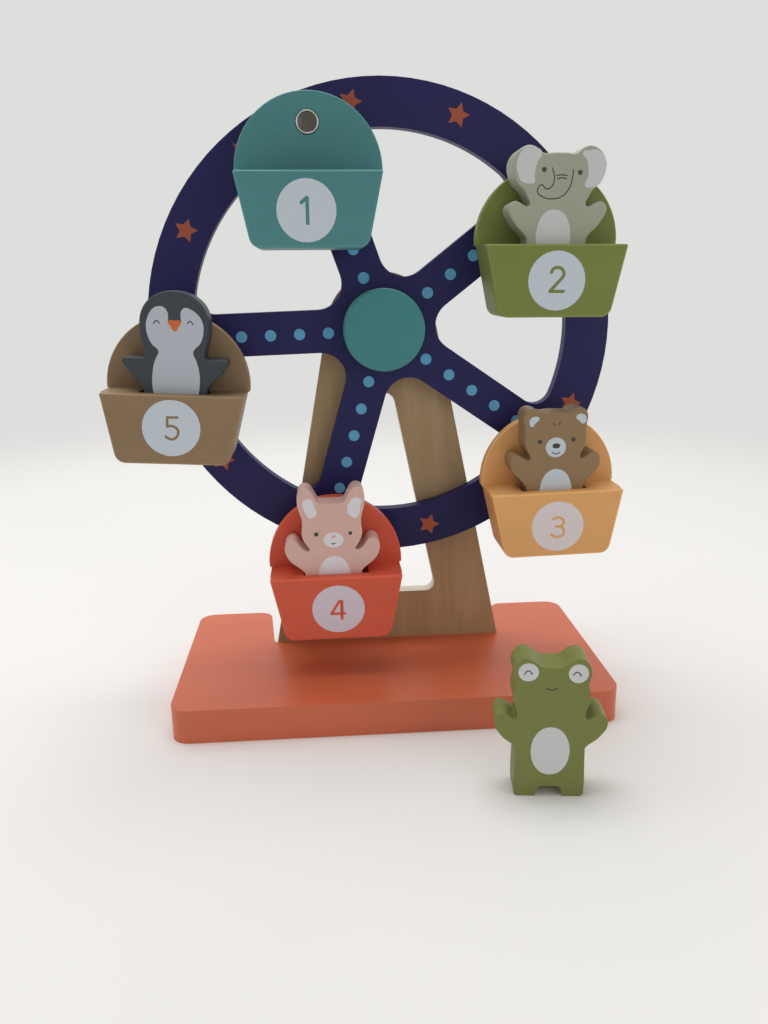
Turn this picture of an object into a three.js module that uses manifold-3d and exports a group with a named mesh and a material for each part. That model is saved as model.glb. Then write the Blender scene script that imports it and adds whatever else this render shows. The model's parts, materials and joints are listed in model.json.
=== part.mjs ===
// Wooden Ferris wheel toy, turned by a small crank behind its stand. Five numbered baskets hang
// on the wheel, and five flat animals sit in them or stand beside the base.
// Millimetres, +Z up. The origin is the middle of the base board's underside. The wheel faces -Y.
import * as THREE from 'three';
import { mergeVertices } from 'three/addons/utils/BufferGeometryUtils.js';
import Module from 'manifold-3d';

const wasm = await Module();
wasm.setup();

// Base board
const baseWidth = 226.4;
const baseDepth = 125.2;
const baseThick = 17.8;
const baseCorner = 9;
const notchCorner = 8.5;
const notchFlare = 4.2;

// Clearances
const fitGap = 0.3;
const footGap = 0.5;
const notchGap = 1.1;

// Stand
const standThick = 8.6;
const footHalf = 64.3;
const headRadius = 29;
const legWidth = 30.5;
const crossbarTop = 46.1;
const openingCorner = 4.8;
const apexCorner = 6.8;
const apexDrop = 5.8;

// Wheel
const wheelFront = 7.2;
const wheelThick = 7.2;
const wheelRadius = 120;
const ringWidth = 22.9;
const spokeWidth = 21.9;
const webFillet = 13.1;
const ringFillet = 9;
const firstSpoke = THREE.MathUtils.degToRad(37.5);
const spokeCount = 5;
const pivotTurn = THREE.MathUtils.degToRad(0.5);

// Axle, hub and washers
const axleAside = -0.6;
const axleRadius = 4;
const hubRadius = 20.6;
const hubThick = 16;
const hubEdge = 1.2;
const hubWall = 5;
const washerRadius = 10;
const wheelWasherThick = 2;
const crankWasherThick = 2;
const bearingWall = 1.5;

// Crank
const crankThrow = 42;
const crankHalf = 9;
const crankThick = 8;
const knobRadius = 9;
const knobNeck = 6.5;
const knobLength = 22;
const knobRound = 2.5;
const pinRadius = 2.5;
const pinHeadRadius = 4.6;
const pinHeadThick = 2.4;
const crankScrewRadius = 1.6;
const crankScrewHeadRadius = 7;
const crankScrewLength = 14;

// Wood screws that hold the stand's foot in the base
const footScrewRadius = 2;
const footScrewHeadRadius = 4.2;
const footScrewHeadThick = 2.2;
const footScrewLength = 28;
const footScrewSpread = 40;

// Basket pivots
const pivotInset = 5.7;
const boltRadius = 2.1;
const boltHeadRadius = 5.45;
const boltRecessRadius = 4.3;
const boltRecess = 0.9;
const boltProud = 0.4;
const bushWall = 2;
const flangeRadius = 7;
const insertWall = 1.2;
const counterbore = 1.6;

// Baskets
const basketToWheel = 10.4;
const basketToBase = 17.3;
const boardThick = 6.4;
const frontThick = 6;
const rimDrop = 23.6;
const basketDrop = 57.4;
const rimHalf = 34.2;
const bottomHalf = 27.1;
const bottomCorner = 5.5;
const pivotMargin = 13.8;
const archRise = 2;
const slotFloor = 6.3;
const slotCorner = 1.5;
const basketTurn = { 1: -0.3, 2: -0.6, 3: 1.2, 4: 0.5, 5: -3.3 };

// Animals
const animalThick = 14.8;
const animalHalf = 25;
const animalHeight = 70;
const bodyHalfShare = 0.61;
const seatGap = 0.3;
const slotPlay = 1.75;
const pocketPlay = 0.5;
const frogAside = 60.3;
const frogAhead = 59.4;
const frogTurn = THREE.MathUtils.degToRad(-6.7);

// Steps of round outlines
const wheelSteps = 96;
const archSteps = 32;
const filletSteps = 6;
const boreSteps = 20;
const splineSteps = 4;
const overrun = 2;

// Places worked out from the sizes above
const ringInner = wheelRadius - ringWidth;
const pivotRadius = ringInner + pivotInset;
const axleHeight = baseThick + basketToBase + basketDrop + pivotRadius;
const wheelBack = wheelFront + wheelThick;
const standFront = wheelBack + wheelWasherThick;
const standBack = standFront + standThick;
const notchFront = standFront;
const notchHalf = footHalf + notchGap;
const footAside = notchGap - fitGap;
const crankFront = standBack + crankWasherThick;
const crankBack = crankFront + crankThick;
const boardBack = wheelFront - basketToWheel;
const boardFront = boardBack - boardThick;
const pocketDepth = animalThick + boltProud + 2 * pocketPlay;
const frontBack = boardFront - pocketDepth;
const frontFace = frontBack - frontThick;
const headSeat = boardFront + counterbore - fitGap;
const bushBore = boltRadius + fitGap;
const bushRadius = bushBore + bushWall;
const insertBore = boltRadius + fitGap;
const insertRadius = insertBore + insertWall;
const bearingBore = axleRadius + fitGap;
const bearingRadius = bearingBore + bearingWall;
const slotDrop = basketDrop - slotFloor;
const slotHalf = bodyHalfShare * animalHalf + slotPlay;
const archRadius = rimDrop - archRise + pivotMargin;
const footScrewPlaces = [-footScrewSpread, footScrewSpread];
const centre = new THREE.Vector2(0, 0);

const colours = {
  base: 0xd9694a, stand: 0xcdb083, navy: 0x2a2660, hub: 0x4b9088, metal: 0xb9b7b0,
  wood: 0xd8bd92, knob: 0xd9694a, plastic: 0xe8e4da,
};
const basketColours = { 1: 0x4f918b, 2: 0x7d8840, 3: 0xe9a762, 4: 0xd8553c, 5: 0xa08263 };
const animalColours = {
  elephant: 0xaeb09f, bear: 0x9a7c5b, bunny: 0xe3b3a4, penguin: 0x434a4e, frog: 0x7d8840,
};

const toy = new THREE.Group();
toy.name = 'crank_ferris_wheel_toy';

function finish(colour, roughness, metalness = 0) {
  return new THREE.MeshStandardMaterial({ color: colour, roughness, metalness });
}

const paint = (colour) => finish(colour, 0.55);
const bareWood = finish(colours.wood, 0.75);
const steel = finish(colours.metal, 0.3, 1);

function addMesh(parent, name, geometry, material) {
  const mesh = new THREE.Mesh(geometry, material);
  mesh.name = name;
  parent.add(mesh);
  return mesh;
}

// Outlines are lists of points in the plane of the wheel, x to the right and z up.
function point(x, z) {
  return new THREE.Vector2(x, z);
}

function arcPoints(centre, radius, from, to, steps) {
  const points = [];
  for (let i = 0; i <= steps; i += 1) {
    const angle = from + (to - from) * (i / steps);
    points.push(point(centre.x + radius * Math.cos(angle), centre.y + radius * Math.sin(angle)));
  }
  return points;
}

function circlePoints(centre, radius, steps) {
  return arcPoints(centre, radius, 0, 2 * Math.PI, steps).slice(0, steps);
}

// A closed outline with each corner rounded by its own radius.
function roundedOutline(corners) {
  const points = [];
  corners.forEach(({ at, round }, i) => {
    if (!round) {
      points.push(at);
      return;
    }
    const before = corners[(i + corners.length - 1) % corners.length].at;
    const after = corners[(i + 1) % corners.length].at;
    const back = before.clone().sub(at).normalize();
    const ahead = after.clone().sub(at).normalize();
    const half = Math.acos(back.dot(ahead)) / 2;
    const centre = back.clone().add(ahead).normalize().multiplyScalar(round / Math.sin(half)).add(at);
    const run = round / Math.tan(half);
    const start = back.multiplyScalar(run).add(at).sub(centre).angle();
    const end = ahead.multiplyScalar(run).add(at).sub(centre).angle();
    const sweep = THREE.MathUtils.euclideanModulo(end - start + Math.PI, 2 * Math.PI) - Math.PI;
    points.push(...arcPoints(centre, round, start, start + sweep, filletSteps));
  });
  return points;
}

// A board cut to an outline in the plane of the wheel, from its front face backwards.
function slab(outline, holes, front, thick) {
  const shape = new THREE.Shape(outline);
  shape.holes = holes.map((hole) => new THREE.Path(hole));
  const geometry = new THREE.ExtrudeGeometry(shape, { depth: thick, bevelEnabled: false });
  geometry.rotateX(Math.PI / 2);
  geometry.translate(0, front + thick, 0);
  return geometry;
}

// A piece turned about the Y axis from a closed profile of [radius, y] pairs.
function turned(profile, steps = boreSteps) {
  const points = profile.map(([radius, y]) => new THREE.Vector2(radius, y));
  return new THREE.LatheGeometry(points, steps);
}

function sleeve(bore, radius, front, back) {
  return turned([[bore, front], [radius, front], [radius, back], [bore, back], [bore, front]]);
}

function rod(radius, front, back) {
  return turned([[0, front], [radius, front], [radius, back], [0, back]]);
}

function toSolid(geometry) {
  const bare = geometry.clone();
  bare.deleteAttribute('normal');
  bare.deleteAttribute('uv');
  const merged = mergeVertices(bare);
  return new wasm.Manifold(new wasm.Mesh({
    numProp: 3,
    vertProperties: new Float32Array(merged.attributes.position.array),
    triVerts: new Uint32Array(merged.index.array),
  }));
}

function cutFrom(geometry, cutters) {
  let solid = toSolid(geometry);
  for (const cutter of cutters) solid = solid.subtract(toSolid(cutter));
  const mesh = solid.getMesh();
  const result = new THREE.BufferGeometry();
  result.setAttribute('position', new THREE.BufferAttribute(new Float32Array(mesh.vertProperties), 3));
  result.setIndex(new THREE.BufferAttribute(new Uint32Array(mesh.triVerts), 1));
  return result;
}

// Base board: a rounded plank with a notch behind the stand, open to the rear, where it flares.
function makeBase() {
  const halfWidth = baseWidth / 2;
  const halfDepth = baseDepth / 2;
  const outline = roundedOutline([
    { at: point(-halfWidth, -halfDepth), round: baseCorner },
    { at: point(halfWidth, -halfDepth), round: baseCorner },
    { at: point(halfWidth, halfDepth), round: baseCorner },
    { at: point(notchHalf + notchFlare, halfDepth), round: notchCorner },
    { at: point(notchHalf, notchFront) },
    { at: point(-notchHalf, notchFront) },
    { at: point(-notchHalf - notchFlare, halfDepth), round: notchCorner },
    { at: point(-halfWidth, halfDepth), round: baseCorner },
  ]);
  const plank = new THREE.ExtrudeGeometry(new THREE.Shape(outline), {
    depth: baseThick, bevelEnabled: false,
  });
  const pilotEnd = standBack - footScrewLength - fitGap;
  const pilots = footScrewPlaces.map((x) => {
    const pilot = rod(footScrewRadius + fitGap, pilotEnd, notchFront + overrun);
    pilot.translate(x, 0, baseThick / 2);
    return pilot;
  });
  addMesh(toy, 'base_board', cutFrom(plank, pilots), paint(colours.base));
}

// Stand: two legs that meet in a round head, cut from one board. Its foot stands at the right end
// of the notch and its head holds the axle, so its middle line leans a little to the left.
function makeStand() {
  const head = point(axleAside, axleHeight);
  const leftFoot = point(footAside - footHalf, baseThick);
  const rightFoot = point(footAside + footHalf, baseThick);
  const toLeft = leftFoot.clone().sub(head);
  const toRight = rightFoot.clone().sub(head);
  const leftShoulder = toLeft.angle() - Math.acos(headRadius / toLeft.length());
  const rightShoulder = toRight.angle() + Math.acos(headRadius / toRight.length()) - 2 * Math.PI;
  const headArc = arcPoints(head, headRadius, rightShoulder, leftShoulder, archSteps);
  const outline = [
    point(leftFoot.x, footGap),
    point(rightFoot.x, footGap),
    rightFoot,
    ...headArc,
    leftFoot,
  ];
  const climb = (crossbarTop - baseThick) / (headArc[0].y - baseThick);
  const openingHalf = THREE.MathUtils.lerp(footHalf, headArc[0].x - head.x, climb) - legWidth;
  const middle = (height) => (
    THREE.MathUtils.mapLinear(height, baseThick, axleHeight, footAside, axleAside)
  );
  const apexHeight = axleHeight - apexDrop;
  const opening = roundedOutline([
    { at: point(middle(crossbarTop) + openingHalf, crossbarTop), round: openingCorner },
    { at: point(middle(apexHeight), apexHeight), round: apexCorner },
    { at: point(middle(crossbarTop) - openingHalf, crossbarTop), round: openingCorner },
  ]);
  const screwHoles = footScrewPlaces.map((x) => (
    circlePoints(point(x, baseThick / 2), footScrewRadius + fitGap, boreSteps)
  ));
  const bearingHole = circlePoints(head, bearingRadius + fitGap, boreSteps);
  const board = slab(outline, [opening, bearingHole, ...screwHoles], standFront, standThick);
  addMesh(toy, 'a_frame_stand', board, bareWood);
}

function makeFootScrews() {
  footScrewPlaces.forEach((x, i) => {
    const screw = turned([
      [0, standBack - footScrewLength],
      [footScrewRadius, standBack - footScrewLength],
      [footScrewRadius, standBack],
      [footScrewHeadRadius, standBack],
      [footScrewHeadRadius, standBack + footScrewHeadThick],
      [0, standBack + footScrewHeadThick],
    ]);
    const mesh = addMesh(toy, `foot_screw_${i + 1}`, screw, steel);
    mesh.position.set(x, 0, baseThick / 2);
  });
}

// Everything on the axle line is placed in this group, which sits where the axle is.
const axleLine = new THREE.Group();
axleLine.position.set(axleAside, 0, axleHeight);
toy.add(axleLine);

// The outline of the opening between two spokes, drawn with its middle line along angle zero.
function windowOutline() {
  const half = Math.PI / spokeCount;
  const fromSpoke = spokeWidth / 2 + webFillet;
  const web = point(fromSpoke / Math.sin(half), 0);
  const across = spokeWidth / 2 + ringFillet;
  const along = Math.sqrt((ringInner - ringFillet) ** 2 - across ** 2);
  const lower = point(along, across).rotateAround(centre, -half);
  const upper = point(along, -across).rotateAround(centre, half);
  const away = Math.PI / 2 - half;
  return [
    ...arcPoints(web, webFillet, Math.PI + away, Math.PI - away, 2 * filletSteps),
    ...arcPoints(upper, ringFillet, Math.PI - away, upper.angle(), filletSteps),
    ...arcPoints(centre, ringInner, upper.angle(), lower.angle() - 2 * Math.PI, archSteps),
    ...arcPoints(lower, ringFillet, lower.angle() - 2 * Math.PI, away - Math.PI, filletSteps),
  ];
}

const pivotPlaces = {};
[2, 1, 5, 4, 3].forEach((number, step) => {
  const angle = firstSpoke + pivotTurn + step * (2 * Math.PI / spokeCount);
  pivotPlaces[number] = point(pivotRadius * Math.cos(angle), pivotRadius * Math.sin(angle));
});

function makeWheel() {
  const windows = [];
  for (let i = 0; i < spokeCount; i += 1) {
    const turn = firstSpoke + (i + 0.5) * (2 * Math.PI / spokeCount);
    windows.push(windowOutline().map((p) => p.rotateAround(centre, turn)));
  }
  const insertHoles = Object.values(pivotPlaces).map((place) => (
    circlePoints(place, insertRadius + fitGap, boreSteps)
  ));
  const axleHole = circlePoints(centre, axleRadius + fitGap, boreSteps);
  const rim = circlePoints(centre, wheelRadius, wheelSteps);
  const disc = slab(rim, [axleHole, ...windows, ...insertHoles], wheelFront, wheelThick);
  addMesh(axleLine, 'spoked_wheel', disc, paint(colours.navy));
}

// Hub cap: a thick disc with a blind hole behind for the end of the axle.
function makeHub() {
  const front = wheelFront - hubThick;
  const bore = axleRadius + fitGap;
  const cap = turned([
    [0, front],
    [hubRadius - hubEdge, front],
    [hubRadius, front + hubEdge],
    [hubRadius, wheelFront],
    [bore, wheelFront],
    [bore, front + hubWall],
    [0, front + hubWall],
  ], 2 * boreSteps);
  addMesh(axleLine, 'hub_cap', cap, paint(colours.hub));
  const pilot = crankScrewRadius + fitGap;
  const pilotEnd = crankBack - crankScrewLength - fitGap;
  const axle = turned([
    [0, front + hubWall + fitGap],
    [axleRadius, front + hubWall + fitGap],
    [axleRadius, crankBack - fitGap],
    [pilot, crankBack - fitGap],
    [pilot, pilotEnd],
    [0, pilotEnd],
  ]);
  addMesh(axleLine, 'axle_rod', axle, steel);
  addMesh(axleLine, 'wheel_washer', sleeve(axleRadius + fitGap, washerRadius, wheelBack, standFront),
    finish(colours.plastic, 0.5));
  addMesh(axleLine, 'axle_bearing_sleeve', sleeve(bearingBore, bearingRadius, standFront, standBack),
    finish(colours.plastic, 0.5));
  addMesh(axleLine, 'crank_washer', sleeve(axleRadius + fitGap, washerRadius, standBack, crankFront),
    finish(colours.plastic, 0.5));
}

// Crank: an arm on the axle's rear end, with a knob that turns on its own pin. It points along
// the spoke of basket 3, which hides it from the front.
function makeCrank() {
  const place = pivotPlaces[3];
  const direction = place.angle();
  const knobAt = point(crankThrow, 0).rotateAround(centre, direction);
  const outline = [
    ...arcPoints(centre, crankHalf, direction + Math.PI / 2, direction + 1.5 * Math.PI, archSteps / 2),
    ...arcPoints(knobAt, crankHalf, direction - Math.PI / 2, direction + Math.PI / 2, archSteps / 2),
  ];
  const axleHole = circlePoints(centre, axleRadius + fitGap, boreSteps);
  const pinHole = circlePoints(knobAt, pinRadius + fitGap, boreSteps);
  addMesh(axleLine, 'crank_arm', slab(outline, [axleHole, pinHole], crankFront, crankThick), bareWood);

  const screw = turned([
    [0, crankBack - crankScrewLength],
    [crankScrewRadius, crankBack - crankScrewLength],
    [crankScrewRadius, crankBack],
    [crankScrewHeadRadius, crankBack],
    [crankScrewHeadRadius, crankBack + pinHeadThick],
    [0, crankBack + pinHeadThick],
  ]);
  addMesh(axleLine, 'crank_screw', screw, steel);

  const knobFront = crankBack + fitGap;
  const knobBack = knobFront + knobLength;
  const pinHeadFront = knobBack - pinHeadThick;
  const pin = turned([
    [0, crankFront + fitGap],
    [pinRadius, crankFront + fitGap],
    [pinRadius, pinHeadFront],
    [pinHeadRadius, pinHeadFront],
    [pinHeadRadius, knobBack],
    [0, knobBack],
  ]);
  const pinMesh = addMesh(axleLine, 'crank_knob_pin', pin, steel);
  pinMesh.position.set(knobAt.x, 0, knobAt.y);

  const knobBore = pinRadius + fitGap;
  const headBore = pinHeadRadius + fitGap;
  const headFloor = pinHeadFront - fitGap;
  const knob = turned([
    [knobBore, knobFront],
    [knobNeck, knobFront],
    [knobRadius, knobFront + knobLength / 2],
    [knobRadius, knobBack - knobRound],
    [knobRadius - knobRound, knobBack],
    [headBore, knobBack],
    [headBore, headFloor],
    [knobBore, headFloor],
    [knobBore, knobFront],
  ]);
  const knobMesh = addMesh(axleLine, 'crank_knob', knob, paint(colours.knob));
  knobMesh.position.set(knobAt.x, 0, knobAt.y);
}

// Basket outlines have the pivot at zero. The sides lean in from the rim to the bottom.
function tubOutline() {
  return [
    { at: point(-rimHalf, -rimDrop) },
    { at: point(-bottomHalf, -basketDrop), round: bottomCorner },
    { at: point(bottomHalf, -basketDrop), round: bottomCorner },
    { at: point(rimHalf, -rimDrop) },
  ];
}

function boardOutline() {
  const archCentre = point(0, archRise - rimDrop);
  const low = -Math.asin(archRise / archRadius);
  const tub = roundedOutline(tubOutline());
  return [...tub, ...arcPoints(archCentre, archRadius, low, Math.PI - low, archSteps)];
}

function pocketOutline() {
  return roundedOutline([
    ...tubOutline(),
    { at: point(slotHalf, -rimDrop) },
    { at: point(slotHalf, -slotDrop), round: slotCorner },
    { at: point(-slotHalf, -slotDrop), round: slotCorner },
    { at: point(-slotHalf, -rimDrop) },
  ]);
}

function makeBasket(parent, number) {
  const material = paint(basketColours[number]);
  const name = `basket_${number}`;
  const boardHole = circlePoints(centre, bushRadius + fitGap, boreSteps);
  const board = slab(boardOutline(), [boardHole], boardFront, boardThick);
  const headPocket = rod(boltHeadRadius + fitGap, boardFront - overrun, boardFront + counterbore);
  addMesh(parent, `${name}_backboard`, cutFrom(board, [headPocket]), material);
  addMesh(parent, `${name}_pocket_block`, slab(pocketOutline(), [], frontBack, pocketDepth), material);
  addMesh(parent, `${name}_front`, slab(roundedOutline(tubOutline()), [], frontFace, frontThick), material);
}

// Pivot: a bolt through a flanged bush into a threaded insert in the wheel. The bush is a little
// longer than the board it carries, so the basket swings under the bolt's head.
function makePivot(parent, number) {
  const name = `basket_${number}`;
  const headFront = boardFront - boltProud;
  const bolt = turned([
    [0, headFront + boltRecess],
    [boltRecessRadius, headFront + boltRecess],
    [boltRecessRadius, headFront],
    [boltHeadRadius, headFront],
    [boltHeadRadius, headSeat],
    [boltRadius, headSeat],
    [boltRadius, wheelBack - fitGap],
    [0, wheelBack - fitGap],
  ]);
  addMesh(parent, `${name}_pivot_bolt`, bolt, steel);
  const bush = turned([
    [bushBore, headSeat],
    [bushRadius, headSeat],
    [bushRadius, boardBack + fitGap],
    [flangeRadius, boardBack + fitGap],
    [flangeRadius, wheelFront],
    [bushBore, wheelFront],
    [bushBore, headSeat],
  ]);
  addMesh(parent, `${name}_pivot_bush`, bush, finish(colours.plastic, 0.5));
  addMesh(parent, `${name}_wheel_insert`, sleeve(insertBore, insertRadius, wheelFront, wheelBack), steel);
}

// Animals: each is a flat figure cut from a board. The tables give the points of its right half
// as shares of half the arm span across and of the height upwards. All stand on the same feet.
const footShares = [[0, 0.07], [0.15, 0.07], [0.2, 0.055], [0.25, 0], [0.55, 0], [0.605, 0.02]];
const hipShare = [bodyHalfShare, 0.11];
const sideShares = {
  frog: [[0.597, 0.3], [0.6, 0.338], [0.64, 0.357], [0.72, 0.379], [0.808, 0.404], [0.88, 0.437],
    [0.938, 0.467], [0.964, 0.507], [0.938, 0.544], [0.86, 0.566], [0.76, 0.56], [0.68, 0.54],
    [0.615, 0.53], [0.575, 0.55], [0.59, 0.585], [0.63, 0.63], [0.65, 0.68], [0.635, 0.725],
    [0.612, 0.764], [0.635, 0.8], [0.655, 0.843], [0.63, 0.882], [0.575, 0.913], [0.49, 0.932],
    [0.4, 0.93], [0.3, 0.911], [0.22, 0.888], [0.14, 0.875], [0, 0.873]],
  bear: [[0.585, 0.37], [0.6, 0.41], [0.664, 0.447], [0.744, 0.479], [0.816, 0.507], [0.88, 0.533],
    [0.92, 0.564], [0.932, 0.603], [0.904, 0.64], [0.832, 0.657], [0.74, 0.651], [0.66, 0.633],
    [0.592, 0.62], [0.53, 0.616], [0.515, 0.636], [0.55, 0.664], [0.6, 0.7], [0.63, 0.743],
    [0.636, 0.786], [0.632, 0.829], [0.636, 0.864], [0.66, 0.9], [0.66, 0.934], [0.625, 0.964],
    [0.56, 0.984], [0.47, 0.99], [0.38, 0.981], [0.3, 0.962], [0.22, 0.957], [0.1, 0.961],
    [0, 0.962]],
  bunny: [[0.59, 0.37], [0.6, 0.405], [0.68, 0.434], [0.756, 0.456], [0.84, 0.48], [0.908, 0.509],
    [0.956, 0.543], [0.98, 0.579], [0.968, 0.617], [0.908, 0.646], [0.83, 0.657], [0.76, 0.649],
    [0.704, 0.626], [0.64, 0.594], [0.56, 0.573], [0.49, 0.57], [0.472, 0.584], [0.51, 0.603],
    [0.57, 0.637], [0.61, 0.671], [0.622, 0.7], [0.615, 0.736], [0.604, 0.77], [0.608, 0.81],
    [0.64, 0.857], [0.676, 0.9], [0.69, 0.95], [0.675, 1], [0.615, 1.035], [0.53, 1.045],
    [0.44, 1.034], [0.37, 1], [0.31, 0.96], [0.26, 0.93], [0.2, 0.924], [0.1, 0.924], [0, 0.924]],
  penguin: [[0.59, 0.37], [0.616, 0.419], [0.68, 0.451], [0.76, 0.483], [0.84, 0.513],
    [0.912, 0.546], [0.968, 0.574], [1, 0.6], [0.984, 0.62], [0.912, 0.627], [0.78, 0.626],
    [0.62, 0.627], [0.568, 0.634], [0.565, 0.66], [0.592, 0.707], [0.628, 0.757], [0.65, 0.814],
    [0.652, 0.857], [0.636, 0.909], [0.596, 0.951], [0.532, 0.99], [0.444, 1.023], [0.344, 1.047],
    [0.22, 1.066], [0.11, 1.077], [0, 1.08]],
  elephant: [[0.584, 0.37], [0.584, 0.425], [0.632, 0.451], [0.704, 0.479], [0.784, 0.507],
    [0.852, 0.543], [0.904, 0.571], [0.944, 0.601], [0.944, 0.633], [0.888, 0.659], [0.808, 0.669],
    [0.732, 0.66], [0.672, 0.649], [0.608, 0.636], [0.556, 0.639], [0.536, 0.657], [0.56, 0.677],
    [0.604, 0.706], [0.64, 0.731], [0.712, 0.757], [0.784, 0.78], [0.836, 0.809], [0.872, 0.843],
    [0.896, 0.883], [0.888, 0.924], [0.84, 0.963], [0.772, 0.991], [0.68, 1.011], [0.576, 1.02],
    [0.48, 1.013], [0.408, 0.997], [0.336, 0.976], [0.268, 0.969], [0.18, 0.973], [0, 0.975]],
};

function animalOutline(kind) {
  const spot = ([x, z]) => point(x * animalHalf, z * animalHeight);
  const sidePoints = [hipShare, ...sideShares[kind]].map(spot);
  const curve = new THREE.CatmullRomCurve3(
    sidePoints.map((p) => new THREE.Vector3(p.x, p.y, 0)), false, 'centripetal',
  );
  const side = curve.getPoints(splineSteps * (sidePoints.length - 1)).map((p) => point(p.x, p.y));
  const half = [...footShares.map(spot), ...side];
  const mirrored = half.slice(1, -1).reverse().map((p) => point(-p.x, p.y));
  return [...half, ...mirrored];
}

function makeAnimal(parent, kind, front) {
  const figure = slab(animalOutline(kind), [], front, animalThick);
  addMesh(parent, kind, figure, paint(animalColours[kind]));
}

// Who sits in which basket, and how far to the side, as a share of the play in the slot.
const riders = { 2: 'elephant', 3: 'bear', 4: 'bunny', 5: 'penguin' };
const asideShares = { 2: 0.5, 3: 0, 4: -0.8, 5: 0.45 };

function hangBaskets() {
  Object.entries(pivotPlaces).forEach(([number, place]) => {
    const fixed = new THREE.Group();
    fixed.position.set(place.x, 0, place.y);
    axleLine.add(fixed);
    makePivot(fixed, number);
    const hanging = new THREE.Group();
    hanging.rotation.y = -THREE.MathUtils.degToRad(basketTurn[number]);
    fixed.add(hanging);
    makeBasket(hanging, number);
    if (!riders[number]) return;
    const seat = new THREE.Group();
    seat.position.set(asideShares[number] * slotPlay, 0, seatGap - slotDrop);
    hanging.add(seat);
    makeAnimal(seat, riders[number], frontBack + pocketPlay);
  });
}

function placeFrog() {
  const spot = new THREE.Group();
  spot.position.set(frogAside, -baseDepth / 2 - frogAhead, 0);
  spot.rotation.z = frogTurn;
  toy.add(spot);
  makeAnimal(spot, 'frog', 0);
}

makeBase();
makeStand();
makeFootScrews();
makeWheel();
makeHub();
makeCrank();
hangBaskets();
placeFrog();

export default toy;
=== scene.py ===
"""Looks of a wooden Ferris wheel toy: eased and painted boards, printed figures and numbers,
bright fasteners, and a plain pale stage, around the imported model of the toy.

Metres, +Z up. The wheel faces -Y. Lists of print points are in millimetres.
"""
import json
import math

import bmesh
import bpy
from bpy.props import FloatProperty, FloatVectorProperty, PointerProperty
from mathutils import Matrix, Vector


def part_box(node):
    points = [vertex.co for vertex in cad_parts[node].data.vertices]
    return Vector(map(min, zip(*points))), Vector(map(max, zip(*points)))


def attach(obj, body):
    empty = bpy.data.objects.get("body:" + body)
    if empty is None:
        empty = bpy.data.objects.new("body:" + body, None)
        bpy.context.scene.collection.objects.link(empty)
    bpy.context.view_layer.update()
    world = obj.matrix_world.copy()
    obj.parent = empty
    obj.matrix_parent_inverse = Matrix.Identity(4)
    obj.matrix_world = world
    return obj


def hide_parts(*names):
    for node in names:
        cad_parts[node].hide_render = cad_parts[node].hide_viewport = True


bl_info = {
    "name": "Ferris Wheel Toy",
    "version": (1, 0, 0),
    "blender": (4, 5, 0),
    "location": "3D View > Sidebar > Ferris Wheel",
    "description": "Dresses the packed model of a wooden Ferris wheel toy and sets its stage",
    "category": "Object",
}

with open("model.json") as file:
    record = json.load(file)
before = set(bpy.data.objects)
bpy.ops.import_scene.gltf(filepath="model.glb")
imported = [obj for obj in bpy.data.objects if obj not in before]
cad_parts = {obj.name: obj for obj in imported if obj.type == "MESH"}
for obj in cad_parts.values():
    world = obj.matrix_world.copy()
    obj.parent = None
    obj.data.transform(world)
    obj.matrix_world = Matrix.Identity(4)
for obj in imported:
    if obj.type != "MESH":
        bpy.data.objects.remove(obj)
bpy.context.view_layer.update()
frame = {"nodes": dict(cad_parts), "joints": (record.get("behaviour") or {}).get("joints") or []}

MM = 0.001
NUMBERS = ("1", "2", "3", "4", "5")
# Each basket's pivot, by the basket's number.
PIVOTS = {
    joint["child"].split("_")[1]: Vector(joint["pos_m"])
    for joint in frame["joints"]
    if joint["name"].endswith("_pivot")
}
WHEEL_CENTRE = next(Vector(j["pos_m"]) for j in frame["joints"] if j["name"] == "wheel_spin")
KNOB_CENTRE = next(Vector(j["pos_m"]) for j in frame["joints"] if j["name"] == "crank_knob_spin")

# How far each basket hangs out of level, in degrees, anticlockwise from the front.
BASKET_TILT = {"1": -0.3, "2": -0.6, "3": 1.2, "4": 0.5, "5": -3.3}
# How far a seated figure's feet and a basket's rim lie below the pivot, in millimetres.
SEAT_DROP = 50.8
RIM_DROP = 23.6
# Where the middle of the loose figure's front face stands on the floor, in millimetres, and the
# figure's turn about Z, in degrees.
FROG_ASIDE = 60.3
FROG_AHEAD = -122.0
FROG_TURN = -6.7

# The basket that each seated figure rides in.
RIDERS = {"elephant": "2", "bear": "3", "bunny": "4", "penguin": "5"}
# The record's material slot of each figure.
FIGURE_SLOTS = {"elephant": "grey_paint", "bear": "brown_paint", "bunny": "pink_paint",
                "penguin": "slate_paint", "frog": "green_paint"}

# Radius that the printed discs share but for their own small differences, in millimetres.
DISC_RADIUS = 13.7


def to_linear(hex_colour):
    """Turns an sRGB hex colour into linear RGBA."""
    parts = [int(hex_colour[i:i + 2], 16) / 255 for i in (1, 3, 5)]
    linear = [p / 12.92 if p <= 0.04045 else ((p + 0.055) / 1.055) ** 2.4 for p in parts]
    return (*linear, 1.0)


def length(name, description, millimetres):
    """A length that a user would change."""
    return FloatProperty(
        name=name, description=description, default=millimetres * MM, min=0.0,
        precision=5, unit="LENGTH", subtype="DISTANCE",
    )


def paint(name, description, hex_colour):
    """A colour that a user would change."""
    return FloatVectorProperty(
        name=name, description=description, default=to_linear(hex_colour),
        size=4, min=0.0, max=1.0, subtype="COLOR",
    )


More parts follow.
